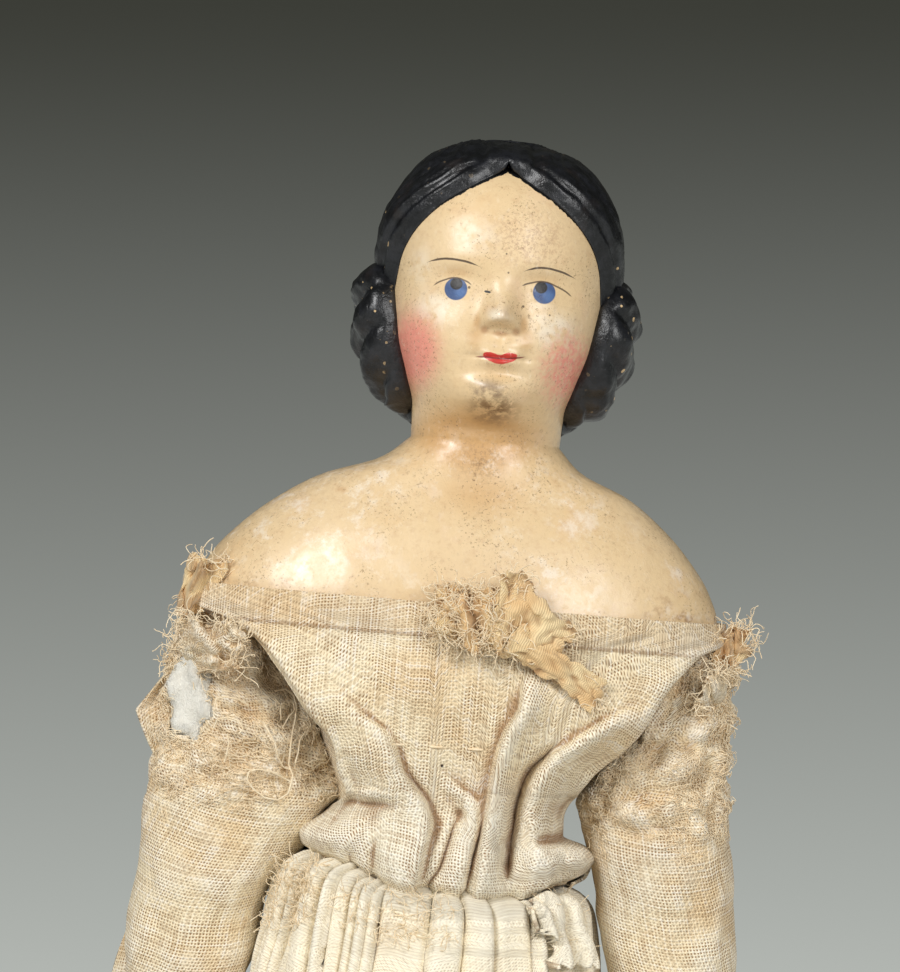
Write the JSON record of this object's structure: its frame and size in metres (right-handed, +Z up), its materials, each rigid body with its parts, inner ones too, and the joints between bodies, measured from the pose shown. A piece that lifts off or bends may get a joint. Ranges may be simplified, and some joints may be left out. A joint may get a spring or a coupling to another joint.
{
  "type": "papier-mache doll",
  "caption": "Shoulder-head doll with a glossy painted papier-mache head on a stuffed linen body, in a worn linen dress, with sewn arms and legs that swing.",
  "frame": {"origin": "middle of the waist seam, where the ring of a doll stand grips the doll", "axes": "+Z up from the feet to the crown, -Y out of the face, +X to the doll's own left"},
  "size_m": [0.1212, 0.14, 0.35],
  "materials": {
    "papier_mache": "painted and varnished papier-mache, gloss",
    "hair_paint": "black gloss paint over papier-mache",
    "linen": "plain-weave linen, aged",
    "sleeve_linen": "coarse plain-weave linen, frayed",
    "scrap_cloth": "thin frayed cloth",
    "stuffing": "cotton and sawdust filling",
    "kid_leather": "thin kid leather",
    "boot_leather": "dark leather",
    "thread": "sewing thread"
  },
  "bodies": {
    "torso": {"head_front_shell": "papier_mache", "head_back_shell": "papier_mache", "hair_cap": "hair_paint", "hair_coil_left": "hair_paint", "hair_coil_right": "hair_paint", "torso_casing": "linen", "torso_stuffing": "stuffing", "bodice_front": "linen", "bodice_back": "linen", "skirt": "linen", "skirt_flap": "linen", "neckline_scrap": "scrap_cloth", "shoulder_scrap_left": "scrap_cloth", "shoulder_scrap_right": "scrap_cloth", "plate_stitch_front_left": "thread", "plate_stitch_front_right": "thread", "plate_stitch_back_left": "thread", "plate_stitch_back_right": "thread"},
    "shoulder_left": {"shoulder_gather_left": "sleeve_linen"},
    "arm_left": {"upper_arm_left": "stuffing", "sleeve_left": "sleeve_linen"},
    "forearm_left": {"lower_arm_left": "kid_leather"},
    "leg_left": {"leg_left": "linen", "boot_left": "boot_leather", "boot_sole_left": "boot_leather"},
    "shoulder_right": {"shoulder_gather_right": "sleeve_linen"},
    "arm_right": {"upper_arm_right": "stuffing", "sleeve_right": "sleeve_linen"},
    "forearm_right": {"lower_arm_right": "kid_leather"},
    "leg_right": {"leg_right": "linen", "boot_right": "boot_leather", "boot_sole_right": "boot_leather"}
  },
  "joints": [
    {"name": "shoulder_swing_left", "type": "hinge", "parent": "torso", "child": "shoulder_left", "pos_m": [0.0375, 0, 0.0392], "axis": [-1, 0, 0], "range_deg": [-35, 40]},
    {"name": "shoulder_lift_left", "type": "hinge", "parent": "shoulder_left", "child": "arm_left", "pos_m": [0.0375, 0, 0.0392], "axis": [0, -1, 0], "range_deg": [0, 60]},
    {"name": "elbow_left", "type": "hinge", "parent": "arm_left", "child": "forearm_left", "pos_m": [0.0462, 0, -0.03], "axis": [-1, 0, 0], "range_deg": [0, 70]},
    {"name": "hip_left", "type": "hinge", "parent": "torso", "child": "leg_left", "pos_m": [0.0135, 0, -0.036], "axis": [-1, 0, 0], "range_deg": [-20, 22]},
    {"name": "shoulder_swing_right", "type": "hinge", "parent": "torso", "child": "shoulder_right", "pos_m": [-0.0375, 0, 0.0392], "axis": [-1, 0, 0], "range_deg": [-35, 40]},
    {"name": "shoulder_lift_right", "type": "hinge", "parent": "shoulder_right", "child": "arm_right", "pos_m": [-0.0375, 0, 0.0392], "axis": [0, 1, 0], "range_deg": [0, 60]},
    {"name": "elbow_right", "type": "hinge", "parent": "arm_right", "child": "forearm_right", "pos_m": [-0.0462, 0, -0.03], "axis": [-1, 0, 0], "range_deg": [0, 70]},
    {"name": "hip_right", "type": "hinge", "parent": "torso", "child": "leg_right", "pos_m": [-0.0135, 0, -0.036], "axis": [-1, 0, 0], "range_deg": [-20, 22]}
  ]
}
